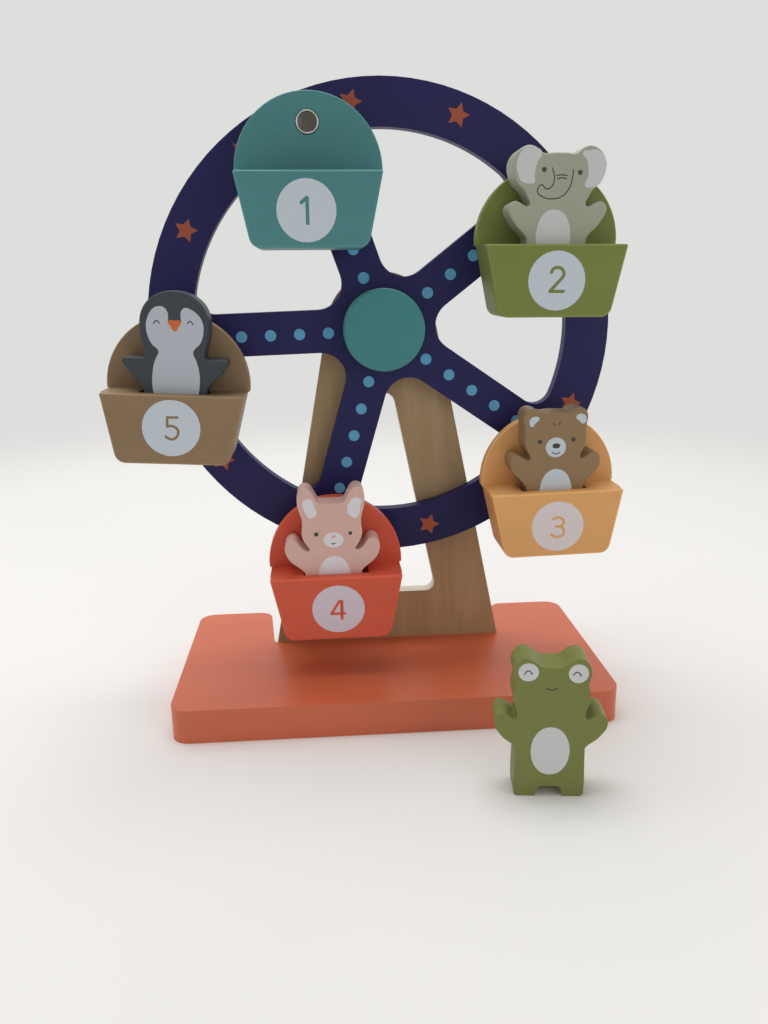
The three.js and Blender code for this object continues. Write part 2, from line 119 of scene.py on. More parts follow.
class FerrisSizes(bpy.types.PropertyGroup):
    """Sizes of eased edges, prints and fasteners."""

    base_edge: length("Base edge", "Rounding of the base board's edges", 1.6)
    stand_edge: length("Stand edge", "Rounding of the stand's edges", 0.6)
    wheel_edge: length("Wheel edge", "Rounding of the wheel's edges", 0.9)
    basket_edge: length("Basket edge", "Rounding of the baskets' edges", 1.0)
    figure_edge: length("Figure edge", "Rounding of the animal figures' edges", 1.3)
    hub_edge: length("Hub edge", "Rounding of the hub cap's face", 1.4)
    print_film: length("Print film", "Thickness of one printed layer", 0.05)
    disc_radius: length("Number disc", "Radius of the pale disc behind a number", DISC_RADIUS)
    number_stroke: length("Number stroke", "Width of the strokes of the numbers", 1.6)
    face_stroke: length("Face stroke", "Width of the drawn lines of the faces", 0.55)
    dot_radius: length("Dot radius", "Radius of the dots along the spokes", 2.9)
    star_radius: length("Star radius", "Radius of the stars round the ring", 6.0)


class FerrisColours(bpy.types.PropertyGroup):
    """Colours of the paints, prints, wood and metal."""

    base: paint("Base", "Orange-red paint of the base board", "#d26843")
    navy: paint("Wheel", "Navy paint of the wheel", "#1f1d54")
    hub: paint("Hub", "Teal paint of the hub cap", "#458a8b")
    basket_1: paint("Basket 1", "Teal paint", "#518b8c")
    basket_2: paint("Basket 2", "Olive green paint", "#7c8643")
    basket_3: paint("Basket 3", "Apricot paint", "#e9af6f")
    basket_4: paint("Basket 4", "Red-orange paint", "#d95d44")
    basket_5: paint("Basket 5", "Tan paint", "#947a5c")
    elephant: paint("Elephant", "Warm grey paint", "#a9ad99")
    bear: paint("Bear", "Brown paint", "#977c5b")
    bunny: paint("Bunny", "Pale pink paint", "#dfb7ac")
    penguin: paint("Penguin", "Slate paint", "#41474d")
    frog: paint("Frog", "Green paint", "#7c8246")
    white: paint("White print", "Pale print of discs 1, 2 and 5 and of the bear", "#ced8e0")
    # Discs 3 and 4 are the same ink as the rest; their warm and rose tints are painted bounce light
    # from the orange paint near them.
    white_with_painted_warm_bounce: paint("Warm white print", "Pale print of disc 3", "#e7dcdd")
    white_with_painted_rose_bounce: paint("Rose white print", "Pale print of disc 4", "#d9ced9")
    soft_white: paint("Soft white print", "Pale print of the elephant and frog", "#d3d5d4")
    pink_white: paint("Pink white print", "Pale print of the bunny", "#e7e3e8")
    grey_white: paint("Grey white print", "Pale print of the penguin", "#c0c6cf")
    dots: paint("Dot print", "Blue print of the dots", "#63a9d2")
    stars: paint("Star print", "Burnt orange print of the stars", "#a9583c")
    lines: paint("Line print", "Dark print of eyes and lines", "#4a4641")
    beak: paint("Beak print", "Orange print of the beak", "#d9703c")
    wood: paint("Wood", "Light early wood of the stand and crank", "#baa07d")
    wood_dark: paint("Wood grain", "Darker late wood of the grain", "#a2855f")
    # Partly bare sawn wood and partly a painted sheen of light on the edges.
    wood_sawn_and_sheen: paint("Sawn wood", "Pale sawn edges of the stand and crank", "#f0ead8")
    zinc: paint("Zinc", "Bright zinc plate of the fasteners", "#c0beb8")
    # Painted shade: the bolt caps' hollow is drawn far darker than their plate.
    recess: paint("Bolt recess", "Dull floor of the bolt caps", "#5d5851")
    nylon: paint("Nylon", "Natural nylon of bushes and washers", "#dedad0")
    floor: paint("Floor", "Pale floor", "#f1efec")
    backdrop: paint("Backdrop", "Pale backdrop", "#dededd")


def sizes():
    """The sizes that the operators read."""
    return bpy.context.scene.ferris_sizes


def colours():
    """The colours that the operators read."""
    return bpy.context.scene.ferris_colours


# Shader nodes and materials

# Most of a noise texture's values lie between these two.
NOISE_LOW = 0.3
NOISE_HIGH = 0.7
# The base and the knob wear a glossier paint than the rest.
GLOSSY = {"roughness": 0.36, "gloss": 0.62}


def add_node(tree, kind, inputs=None, **settings):
    """Adds a node, makes its settings, and sets or links its inputs."""
    node = tree.nodes.new(kind)
    for name, value in settings.items():
        setattr(node, name, value)
    for name, value in (inputs or {}).items():
        if isinstance(value, bpy.types.NodeSocket):
            tree.links.new(value, node.inputs[name])
        else:
            node.inputs[name].default_value = value
    return node


def new_material(name):
    """A material with an empty node tree. Gives it, its tree and its output."""
    material = bpy.data.materials.new(name)
    material.use_nodes = True
    tree = material.node_tree
    tree.nodes.clear()
    output = add_node(tree, "ShaderNodeOutputMaterial")
    return material, tree, output


def stretched(tree, along, across_mm, along_mm):
    """Object coordinates scaled so that one unit is a real size across and along one axis."""
    coordinates = add_node(tree, "ShaderNodeTexCoord").outputs["Object"]
    scale = [1 / (across_mm * MM)] * 3
    scale["XYZ".index(along)] = 1 / (along_mm * MM)
    return add_node(tree, "ShaderNodeMapping", {"Vector": coordinates, "Scale": scale}).outputs[0]


def painted_board(name, colour, grain="X", roughness=0.46, gloss=0.28, edge_wear_and_highlight=0.16):
    """Water-based satin paint sprayed on sanded lime wood: an even colour with a slightly
    uneven film and wood fibres that show faintly through it. The eased edges are painted paler,
    partly for a thinner film there and partly as a painted highlight of light on their rounding.
    gloss is the shader's specular level, and the last argument how much paler the edges are."""
    material, tree, output = new_material(name)
    # The film is thicker and thinner over about 22 mm across the grain and 60 mm along it.
    film = add_node(tree, "ShaderNodeTexNoise", {
        "Vector": stretched(tree, grain, 22, 60), "Scale": 1.0, "Detail": 3.0,
    }).outputs["Fac"]
    # Fibres are about 0.3 mm wide, and are drawn at 1.2 mm so that they show.
    fibres = add_node(tree, "ShaderNodeTexNoise", {
        "Vector": stretched(tree, grain, 1.2, 26), "Scale": 1.0, "Detail": 4.0,
    }).outputs["Fac"]
    # The spray's texture is under 0.5 mm, and is drawn at 1.5 mm so that it shows.
    spray = add_node(tree, "ShaderNodeTexNoise", {
        "Vector": stretched(tree, grain, 1.5, 1.5), "Scale": 1.0, "Detail": 2.0,
    }).outputs["Fac"]
    both = add_node(tree, "ShaderNodeMix", {"Factor": 0.4, "A": film, "B": fibres}).outputs[0]
    value = add_node(tree, "ShaderNodeMapRange", {
        "Value": both, "From Min": NOISE_LOW, "From Max": NOISE_HIGH, "To Min": 0.95, "To Max": 1.05,
    }).outputs[0]
    # Painted highlight and thinner film: the eased faces are lifted paler.
    edge = add_node(tree, "ShaderNodeAttribute", attribute_name="eased").outputs["Fac"]
    lift = add_node(tree, "ShaderNodeMath", {0: edge, 1: edge_wear_and_highlight, 2: value},
                    operation="MULTIPLY_ADD").outputs[0]
    shade = add_node(tree, "ShaderNodeHueSaturation", {"Value": lift, "Color": colour})
    # The paint is a little duller where its fibres stand up.
    rough = add_node(tree, "ShaderNodeMapRange", {
        "Value": fibres, "From Min": NOISE_LOW, "From Max": NOISE_HIGH,
        "To Min": roughness - 0.05, "To Max": roughness + 0.07,
    }).outputs[0]
    bump_fibres = add_node(tree, "ShaderNodeBump", {
        "Height": fibres, "Strength": 0.18, "Distance": 0.06 * MM,
    }).outputs[0]
    bump = add_node(tree, "ShaderNodeBump", {
        "Height": spray, "Strength": 0.3, "Distance": 0.05 * MM, "Normal": bump_fibres,
    }).outputs[0]
    shader = add_node(tree, "ShaderNodeBsdfPrincipled", {
        "Base Color": shade.outputs[0], "Roughness": rough, "Normal": bump, "IOR": 1.48,
        "Specular IOR Level": gloss,
    })
    tree.links.new(shader.outputs[0], output.inputs[0])
    return material


def varnished_wood(name, light, dark, pale, grain="Z"):
    """Lime wood under a thin clear satin coat: a straw colour with soft darker growth bands
    along the board, fine fibres, and paler sawn edges, partly for the less varnish they took and
    partly as a painted sheen of light on them."""
    material, tree, output = new_material(name)
    # Growth bands are about 10 mm apart and wander along the board.
    bands = add_node(tree, "ShaderNodeTexNoise", {
        "Vector": stretched(tree, grain, 10, 190), "Scale": 1.0, "Detail": 2.0, "Distortion": 0.3,
    }).outputs["Fac"]
    # Fibres are about 0.2 mm wide, and are drawn at 0.9 mm so that they show.
    fibres = add_node(tree, "ShaderNodeTexNoise", {
        "Vector": stretched(tree, grain, 0.9, 24), "Scale": 1.0, "Detail": 4.0,
    }).outputs["Fac"]
    both = add_node(tree, "ShaderNodeMix", {"Factor": 0.4, "A": bands, "B": fibres}).outputs[0]
    # A wider range than the paints' keeps the growth bands soft.
    share = add_node(tree, "ShaderNodeMapRange", {
        "Value": both, "From Min": 0.25, "From Max": 0.75, "To Min": 0.0, "To Max": 1.0,
    }).outputs[0]
    face = add_node(tree, "ShaderNodeMix", {"Factor": share, "A": light, "B": dark},
                    data_type="RGBA")
    # Painted sheen and less varnish: faces that don't look ahead or back are mixed towards the pale
    # sawn colour.
    sawn = add_node(tree, "ShaderNodeAttribute", attribute_name="sawn").outputs["Fac"]
    part = add_node(tree, "ShaderNodeMath", {0: sawn, 1: 0.9}, operation="MULTIPLY").outputs[0]
    shade = add_node(tree, "ShaderNodeMix", {"Factor": part, "A": face.outputs["Result"],
                                             "B": pale}, data_type="RGBA")
    bump = add_node(tree, "ShaderNodeBump", {
        "Height": fibres, "Strength": 0.3, "Distance": 0.06 * MM,
    }).outputs[0]
    shader = add_node(tree, "ShaderNodeBsdfPrincipled", {
        "Base Color": shade.outputs["Result"], "Roughness": 0.55, "Normal": bump, "IOR": 1.47,
        "Specular IOR Level": 0.3,
    })
    tree.links.new(shader.outputs[0], output.inputs[0])
    return material


def screen_print(name, colour):
    """Screen-print ink on paint: flat and opaque, a little duller than the paint, with the
    fine unevenness of the mesh that it was pressed through."""
    material, tree, output = new_material(name)
    # The mesh is about 0.1 mm, and is drawn at 1.1 mm so that it shows.
    weave = add_node(tree, "ShaderNodeTexNoise", {
        "Vector": stretched(tree, "X", 1.1, 1.1), "Scale": 1.0, "Detail": 3.0,
    }).outputs["Fac"]
    value = add_node(tree, "ShaderNodeMapRange", {
        "Value": weave, "From Min": NOISE_LOW, "From Max": NOISE_HIGH, "To Min": 0.985, "To Max": 1.015,
    }).outputs[0]
    shade = add_node(tree, "ShaderNodeHueSaturation", {"Value": value, "Color": colour})
    bump = add_node(tree, "ShaderNodeBump", {
        "Height": weave, "Strength": 0.1, "Distance": 0.04 * MM,
    }).outputs[0]
    shader = add_node(tree, "ShaderNodeBsdfPrincipled", {
        "Base Color": shade.outputs[0], "Roughness": 0.55, "Normal": bump, "IOR": 1.48,
        "Specular IOR Level": 0.3,
    })
    tree.links.new(shader.outputs[0], output.inputs[0])
    return material


def plated_steel(name, colour, roughness):
    """Zinc-plated steel, stamped and tumbled: bright, with small dull patches in its shine."""
    material, tree, output = new_material(name)
    # The dull patches are about 1.4 mm across.
    patches = add_node(tree, "ShaderNodeTexNoise", {
        "Vector": stretched(tree, "X", 1.4, 1.4), "Scale": 1.0, "Detail": 4.0,
    }).outputs["Fac"]
    rough = add_node(tree, "ShaderNodeMapRange", {
        "Value": patches, "From Min": NOISE_LOW, "From Max": NOISE_HIGH,
        "To Min": roughness * 0.8, "To Max": roughness * 1.3,
    }).outputs[0]
    value = add_node(tree, "ShaderNodeMapRange", {
        "Value": patches, "From Min": NOISE_LOW, "From Max": NOISE_HIGH, "To Min": 0.85, "To Max": 1.05,
    }).outputs[0]
    shade = add_node(tree, "ShaderNodeHueSaturation", {"Value": value, "Color": colour})
    shader = add_node(tree, "ShaderNodeBsdfPrincipled", {
        "Base Color": shade.outputs[0], "Metallic": 1.0, "Roughness": rough,
    })
    tree.links.new(shader.outputs[0], output.inputs[0])
    return material


def moulded_nylon(name, colour):
    """Natural nylon, injection moulded: milky off-white with a soft sheen."""
    material, tree, output = new_material(name)
    # The milky clouds are about 3 mm across.
    cloud = add_node(tree, "ShaderNodeTexNoise", {
        "Vector": stretched(tree, "X", 3.0, 3.0), "Scale": 1.0, "Detail": 2.0,
    }).outputs["Fac"]
    rough = add_node(tree, "ShaderNodeMapRange", {
        "Value": cloud, "From Min": NOISE_LOW, "From Max": NOISE_HIGH, "To Min": 0.38, "To Max": 0.5,
    }).outputs[0]
    value = add_node(tree, "ShaderNodeMapRange", {
        "Value": cloud, "From Min": NOISE_LOW, "From Max": NOISE_HIGH, "To Min": 0.97, "To Max": 1.03,
    }).outputs[0]
    shade = add_node(tree, "ShaderNodeHueSaturation", {"Value": value, "Color": colour})
    shader = add_node(tree, "ShaderNodeBsdfPrincipled", {
        "Base Color": shade.outputs[0], "Roughness": rough, "IOR": 1.53,
    })
    tree.links.new(shader.outputs[0], output.inputs[0])
    return material


# Meshes

# Points closer than this are one.
MERGE = 0.001 * MM
# Angles between two faces: below the first they are one flat face, past the second their edge
# is hard and may be rounded, and past the third it is shaded sharp.
FLAT_ANGLE = math.radians(0.5)
HARD_ANGLE = math.radians(40)
SHARP_ANGLE = math.radians(42)
# A board's face looks ahead or back where its normal's Y is past this, and else it is sawn.
FACING = 0.7
# Steps across a rounded edge, and between two points of a print's outline or stroke.
EASED_STEPS = 3
CURVE_STEPS = 8


def finish_mesh(bm, name):
    """Turns a bmesh into a smooth-shaded mesh with its hard edges kept."""
    mesh = bpy.data.meshes.new(name)
    bm.to_mesh(mesh)
    bm.free()
    mesh.shade_smooth()
    mesh.set_sharp_from_angle(angle=SHARP_ANGLE)
    return mesh


def add_piece(name, mesh, material, body, replaced=()):
    """Puts a finished mesh in the scene as a piece that rides on a body."""
    if not mesh.materials:
        mesh.materials.append(material)
    piece = bpy.data.objects.new(name, mesh)
    bpy.context.scene.collection.objects.link(piece)
    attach(piece, body)
    if replaced:
        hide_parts(*replaced)
    return piece


def eased_board(node, edge, is_eased=None):
    """A copy of a packed board with its flat faces joined and its hard edges rounded.
    is_eased takes an edge's middle and says whether that edge is rounded."""
    bm = bmesh.new()
    bm.from_mesh(frame["nodes"][node].data)
    bmesh.ops.remove_doubles(bm, verts=bm.verts, dist=MERGE)
    bmesh.ops.dissolve_limit(bm, angle_limit=FLAT_ANGLE, verts=bm.verts, edges=bm.edges)
    hard = [
        e for e in bm.edges
        if len(e.link_faces) == 2 and e.calc_face_angle() > HARD_ANGLE
        and (is_eased is None or is_eased((e.verts[0].co + e.verts[1].co) / 2))
    ]
    eased = bm.faces.layers.float.new("eased")
    sawn = bm.faces.layers.float.new("sawn")
    for face in bm.faces:
        face[sawn] = 0.0 if abs(face.normal.y) > FACING else 1.0
    rounded = bmesh.ops.bevel(
        bm, geom=hard, offset=edge, offset_type="OFFSET", segments=EASED_STEPS, profile=0.5,
        affect="EDGES", material=-1, clamp_overlap=True,
    )
    for face in rounded["faces"]:
        face[eased] = 1.0
    return finish_mesh(bm, node + "_eased")


def add_board(name, node, edge, material, body, is_eased=None):
    """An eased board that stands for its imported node, with flat faces that shade flat."""
    piece = add_piece(name, eased_board(node, edge, is_eased), material, body, [node])
    weighted = piece.modifiers.new("Flat faces", "WEIGHTED_NORMAL")
    weighted.keep_sharp = True
    return piece


def turned_mesh(name, profile, centre, steps=64):
    """A closed piece turned about the Y axis through centre. The profile is a list of
    (radius, y) in millimetres, from the front of its middle to the back of it."""
    bm = bmesh.new()
    verts = [bm.verts.new((r * MM, y * MM, 0.0)) for r, y in profile]
    edges = [bm.edges.new(pair) for pair in zip(verts, verts[1:])]
    bmesh.ops.spin(
        bm, geom=verts + edges, axis=(0.0, 1.0, 0.0), cent=(0.0, 0.0, 0.0),
        angle=2 * math.pi, steps=steps, use_merge=True,
    )
    bmesh.ops.remove_doubles(bm, verts=bm.verts, dist=MERGE)
    bmesh.ops.recalc_face_normals(bm, faces=bm.faces)
    bmesh.ops.translate(bm, verts=bm.verts, vec=(centre.x, 0.0, centre.z))
    return finish_mesh(bm, name)


def curve_mesh(curve):
    """The mesh of a curve, whose own data is then removed."""
    holder = bpy.data.objects.new("holder", curve)
    bpy.context.scene.collection.objects.link(holder)
    bpy.context.view_layer.update()
    shown = holder.evaluated_get(bpy.context.evaluated_depsgraph_get())
    mesh = bpy.data.meshes.new_from_object(shown)
    bpy.data.objects.remove(holder)
    bpy.data.curves.remove(curve)
    return mesh


def add_spline(curve, points, smooth, closed):
    """Adds a spline through points given in millimetres."""
    spline = curve.splines.new("BEZIER")
    spline.bezier_points.add(len(points) - 1)
    kind = "AUTO" if smooth else "VECTOR"
    for knot, (x, z) in zip(spline.bezier_points, points):
        knot.co = (x * MM, z * MM, 0.0)
        knot.handle_left_type = knot.handle_right_type = kind
    spline.use_cyclic_u = closed


def print_shapes(outlines, film, smooth=True):
    """Flat printed shapes from closed outlines, as thick as the film, in the plane z = 0. An
    outline that isn't smooth has straight sides."""
    curve = bpy.data.curves.new("print", "CURVE")
    curve.dimensions = "2D"
    curve.fill_mode = "BOTH"
    curve.extrude = film / 2
    curve.resolution_u = CURVE_STEPS
    for points in outlines:
        add_spline(curve, points, smooth, True)
    return curve_mesh(curve)


def print_strokes(strokes, width, film):
    """Flat printed lines with round ends. A stroke of two points is straight. Ends that meet
    share one round end."""
    bm = bmesh.new()
    for points in strokes:
        curve = bpy.data.curves.new("stroke", "CURVE")
        curve.dimensions = "3D"
        curve.bevel_depth = width / 2
        curve.bevel_resolution = 3
        curve.resolution_u = CURVE_STEPS
        curve.use_fill_caps = True
        add_spline(curve, points, len(points) > 2, False)
        mesh = curve_mesh(curve)
        bm.from_mesh(mesh)
        bpy.data.meshes.remove(mesh)
    for x, z in dict.fromkeys(end for points in strokes for end in (points[0], points[-1])):
        bmesh.ops.create_uvsphere(
            bm, u_segments=12, v_segments=6, radius=width / 2,
            matrix=Matrix.Translation((x * MM, z * MM, 0.0)),
        )
    bmesh.ops.scale(bm, vec=(1.0, 1.0, film / width), verts=bm.verts)
    mesh = bpy.data.meshes.new("strokes")
    bm.to_mesh(mesh)
    bm.free()
    return mesh


def circle(x, z, radius, tall=None):
    """Four points of a smooth round or oval outline, in millimetres."""
    tall = tall or radius
    return [(x + radius, z), (x, z + tall), (x - radius, z), (x, z - tall)]


# Stands a flat print up, so that it faces ahead.
UPRIGHT = Matrix.Rotation(math.radians(90), 4, "X")


def basket_place(number, face):
    """Puts a print's origin at a basket's pivot, level with the basket, on a front face."""
    pivot = PIVOTS[number]
    tilt = Matrix.Rotation(math.radians(-BASKET_TILT[number]), 4, "Y")
    return Matrix.Translation((pivot.x, face, pivot.z)) @ tilt


def add_print(name, mesh, place, material, body, layers=1):
    """A print of one or more layers, laid on the front face at a place."""
    film = sizes().print_film
    bm = bmesh.new()
    bm.from_mesh(mesh)
    bpy.data.meshes.remove(mesh)
    bmesh.ops.transform(bm, matrix=UPRIGHT, verts=bm.verts)
    bmesh.ops.scale(bm, vec=(1.0, layers, 1.0), verts=bm.verts)
    bmesh.ops.translate(bm, vec=(0.0, -layers * film / 2, 0.0), verts=bm.verts)
    bmesh.ops.transform(bm, matrix=place, verts=bm.verts)
    return add_piece(name, finish_mesh(bm, name), material, body)


# Operators

# Each lamp's name, power in watts, size and place in metres, and the point that all look at.
LAMPS = (
    ("Ceiling light", 16.4, 1.2, (-0.1, 0.3, 1.5)),
    ("Window light", 1.7, 0.6, (0.8, -1.0, 0.5)),
    ("Side light", 1.2, 0.7, (-1.1, 0.0, 0.7)),
)
LAMP_AIM = Vector((0.0, 0.0, 0.12))
# Strength of the even light that comes from all sides.
ROOM_STRENGTH = 0.42
# The floor's radius, and how far out it starts and ends its fade into the backdrop, in metres.
FLOOR_RADIUS = 2.5
FLOOR_SEGMENTS = 96
FADE_START = 0.6
FADE_END = 1.15
# The camera's place in metres, its turns in radians, and its lens and sensor in millimetres.
CAMERA_PLACE = (-0.0318, -0.4418, 0.2189)
CAMERA_HEADING = -0.068
CAMERA_PITCH = 0.2658
CAMERA_ROLL = -0.015
CAMERA_LENS = 29.72
CAMERA_SENSOR = 36.0


class FERRIS_OT_stage(bpy.types.Operator):
    """Lay the floor, the backdrop, the light and the camera"""

    bl_idname = "ferris.stage"
    bl_label = "Stage"

    def execute(self, context):
        scene = context.scene
        scene.view_settings.view_transform = "Standard"
        self.lay_floor()
        self.light_world(scene)
        self.hang_lamps(scene)
        self.set_camera(scene)
        return {"FINISHED"}

    def lay_floor(self):
        """A round floor that fades into the backdrop."""
        bm = bmesh.new()
        bmesh.ops.create_circle(bm, cap_ends=True, segments=FLOOR_SEGMENTS, radius=FLOOR_RADIUS)
        floor = bpy.data.objects.new("floor", finish_mesh(bm, "floor"))
        bpy.context.scene.collection.objects.link(floor)
        material, tree, output = new_material("Matt white paper")
        place = add_node(tree, "ShaderNodeTexCoord").outputs["Object"]
        reach = add_node(tree, "ShaderNodeVectorMath", {0: place}, operation="LENGTH")
        fade = add_node(tree, "ShaderNodeMapRange", {
            "Value": reach.outputs["Value"], "From Min": FADE_START, "From Max": FADE_END,
            "To Min": 0.0, "To Max": 1.0,
        }, interpolation_type="SMOOTHSTEP").outputs[0]
        # The paper's tone drifts over about 250 mm, four times in a metre.
        cloud = add_node(tree, "ShaderNodeTexNoise", {
            "Vector": place, "Scale": 4.0,
        }).outputs["Fac"]
        tone = add_node(tree, "ShaderNodeMapRange", {
            "Value": cloud, "From Min": NOISE_LOW, "From Max": NOISE_HIGH,
            "To Min": 0.99, "To Max": 1.01,
        }).outputs[0]
        shade = add_node(tree, "ShaderNodeHueSaturation",
                         {"Value": tone, "Color": colours().floor[:]})
        paper = add_node(tree, "ShaderNodeBsdfDiffuse", {"Color": shade.outputs[0]})
        clear = add_node(tree, "ShaderNodeBsdfTransparent")
        mix = add_node(tree, "ShaderNodeMixShader", {
            0: fade, 1: paper.outputs[0], 2: clear.outputs[0],
        })
        tree.links.new(mix.outputs[0], output.inputs[0])
        floor.data.materials.append(material)

    def light_world(self, scene):
        """Even soft light, and a plain pale backdrop for the camera and for reflections."""
        world = bpy.data.worlds.new("Pale room")
        scene.world = world
        world.use_nodes = True
        tree = world.node_tree
        tree.nodes.clear()
        output = add_node(tree, "ShaderNodeOutputWorld")
        path = add_node(tree, "ShaderNodeLightPath")
        seen = add_node(tree, "ShaderNodeMath", {
            0: path.outputs["Is Camera Ray"], 1: path.outputs["Is Glossy Ray"],
        }, operation="MAXIMUM").outputs[0]
        seen = add_node(tree, "ShaderNodeMath", {
            0: seen, 1: path.outputs["Is Transmission Ray"],
        }, operation="MAXIMUM").outputs[0]
        light = add_node(tree, "ShaderNodeBackground", {
            "Color": (1.0, 1.0, 1.0, 1.0), "Strength": ROOM_STRENGTH,
        })
        pale = add_node(tree, "ShaderNodeBackground", {
            "Color": colours().backdrop[:], "Strength": 1.0,
        })
        mix = add_node(tree, "ShaderNodeMixShader", {
            0: seen, 1: light.outputs[0], 2: pale.outputs[0],
        })
        tree.links.new(mix.outputs[0], output.inputs[0])

    def hang_lamps(self, scene):
        """A broad ceiling light, and weaker lights from the right front and from the left."""
        for name, energy, size, place in LAMPS:
            lamp = bpy.data.lights.new(name, "AREA")
            lamp.energy = energy
            lamp.size = size
            holder = bpy.data.objects.new(name, lamp)
            holder.location = place
            view = LAMP_AIM - Vector(place)
            holder.rotation_euler = view.to_track_quat("-Z", "Y").to_euler()
            scene.collection.objects.link(holder)

    def set_camera(self, scene):
        """The camera stands a little left of the middle and looks slightly down."""
        lens = bpy.data.cameras.new("Camera")
        lens.sensor_width = CAMERA_SENSOR
        lens.lens = CAMERA_LENS
        camera = bpy.data.objects.new("Camera", lens)
        turn = (Matrix.Rotation(CAMERA_HEADING, 4, "Z")
                @ Matrix.Rotation(math.pi / 2 - CAMERA_PITCH, 4, "X")
                @ Matrix.Rotation(CAMERA_ROLL, 4, "Z"))
        camera.matrix_world = Matrix.Translation(CAMERA_PLACE) @ turn
        scene.collection.objects.link(camera)
        scene.camera = camera


# Steps of the hub cap's round edge, and of its turn.
HUB_EDGE_STEPS = 6
HUB_TURN_STEPS = 96
# The knob, in millimetres: radii of its bore, its neck and the recess at its end, how far the
# neck's bevel reaches out and along, and the depth of the recess and of its bevel.
KNOB_BORE = 2.8
KNOB_NECK = 6.3
KNOB_RECESS = 4.9
KNOB_NECK_BEVEL = (0.2, 0.3)
KNOB_RECESS_DEPTH = 2.7
KNOB_RECESS_BEVEL = 0.1
# How the knob swells: how far along it, as a share of its length, and the radius there.
KNOB_SWELL = ((0.12, 6.6), (0.25, 7.2), (0.4, 8.2))
# The stretch of its full radius, as shares of its length.
KNOB_FULL_SHARES = (0.58, 0.75)
# Its round end: how much less its radius is, and how far ahead of its end.
KNOB_END = ((0.6, 1.9), (1.4, 0.7), (2.6, 0.0))


class FERRIS_OT_boards(bpy.types.Operator):
    """Ease and paint the base, stand, wheel, hub and crank"""

    bl_idname = "ferris.boards"
    bl_label = "Base, stand, wheel and crank"

    def execute(self, context):
        size, colour = sizes(), colours()
        add_board("base_board_painted", "base_board", size.base_edge,
                  painted_board("Satin paint orange-red", colour.base[:], "X", **GLOSSY),
                  "stand")
        wood = varnished_wood("Varnished lime wood", colour.wood[:], colour.wood_dark[:],
                              colour.wood_sawn_and_sheen[:])
        add_board("stand_varnished", "a_frame_stand", size.stand_edge, wood, "stand")
        add_board("wheel_painted", "spoked_wheel", size.wheel_edge,
                  painted_board("Satin paint navy", colour.navy[:], "Z"),
                  "wheel")
        add_board("crank_arm_varnished", "crank_arm", size.wheel_edge, wood, "wheel")
        self.turn_hub(size, colour)
        self.turn_knob(colour)
        return {"FINISHED"}

    def turn_hub(self, size, colour):
        """The hub cap's face has a round edge."""
        low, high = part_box("hub_cap")
        radius = (high.x - low.x) / 2 / MM
        front, back = low.y / MM, high.y / MM
        edge = size.hub_edge / MM
        angles = [step * math.pi / 2 / HUB_EDGE_STEPS for step in range(HUB_EDGE_STEPS + 1)]
        curve = [(radius - edge + edge * math.sin(angle), front + edge - edge * math.cos(angle))
                 for angle in angles]
        mesh = turned_mesh("hub_cap_turned", [(0.0, front), *curve, (radius, back), (0.0, back)],
                           WHEEL_CENTRE, HUB_TURN_STEPS)
        add_piece("hub_cap_turned", mesh, painted_board("Satin paint teal hub", colour.hub[:]),
                  "wheel", ["hub_cap"])

    def turn_knob(self, colour):
        """The crank's knob swells from its neck and is round at its end."""
        low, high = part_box("crank_knob")
        radius = (high.x - low.x) / 2 / MM
        front, back = low.y / MM, high.y / MM
        run = back - front
        out, along = KNOB_NECK_BEVEL
        profile = [
            (KNOB_BORE, front), (KNOB_NECK, front), (KNOB_NECK + out, front + along),
            *((wide, front + share * run) for share, wide in KNOB_SWELL),
            *((radius, front + share * run) for share in KNOB_FULL_SHARES),
            *((radius - less, back - ahead) for less, ahead in KNOB_END),
            (KNOB_RECESS + KNOB_RECESS_BEVEL, back), (KNOB_RECESS, back - KNOB_RECESS_BEVEL),
            (KNOB_RECESS, back - KNOB_RECESS_DEPTH), (KNOB_BORE, back - KNOB_RECESS_DEPTH),
            (KNOB_BORE, front),
        ]
        mesh = turned_mesh("crank_knob_turned", profile, KNOB_CENTRE)
        add_piece("crank_knob_turned", mesh,
                  painted_board("Satin paint orange-red knob", colour.base[:], "Y", **GLOSSY),
                  "crank_knob", ["crank_knob"])


# An edge this close to a glued seam, to the rim or to the bolt's middle isn't rounded, in
# millimetres.
SEAM_REACH = 0.1
RIM_REACH = 0.5
BOLT_REACH = 10


def rounded_edges(number):
    """Tests for the three boards of a basket, which take an edge's middle and say whether that
    edge is rounded. Edges on a glued seam and round the bolt stay sharp."""
    seam_ahead, seam_behind = (corner.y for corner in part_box(f"basket_{number}_pocket_block"))
    level = basket_place(number, 0.0).inverted()

    def on_front(middle):
        return middle.y < seam_ahead - SEAM_REACH * MM

    def on_backboard(middle):
        spot = level @ middle
        is_free = middle.y > seam_behind + SEAM_REACH * MM or spot.z > (RIM_REACH - RIM_DROP) * MM
        return is_free and spot.xz.length >= BOLT_REACH * MM

    def on_pocket_block(middle):
        return False

    return {"front": on_front, "backboard": on_backboard, "pocket_block": on_pocket_block}


class FERRIS_OT_baskets(bpy.types.Operator):
    """Ease and paint the boards of the baskets"""

    bl_idname = "ferris.baskets"
    bl_label = "Baskets"

    def execute(self, context):
        for number in NUMBERS:
            name = f"basket_{number}"
            material = painted_board(f"Satin paint basket {number}",
                                     getattr(colours(), name)[:])
            for part, is_eased in rounded_edges(number).items():
                add_board(f"{name}_{part}_painted", f"{name}_{part}", sizes().basket_edge,
                          material, name, is_eased)
        return {"FINISHED"}


# The figures' edges are painted only a little paler: hardly any thinner film and a faint painted
# highlight.
FIGURE_EDGE_WEAR_AND_HIGHLIGHT = 0.04


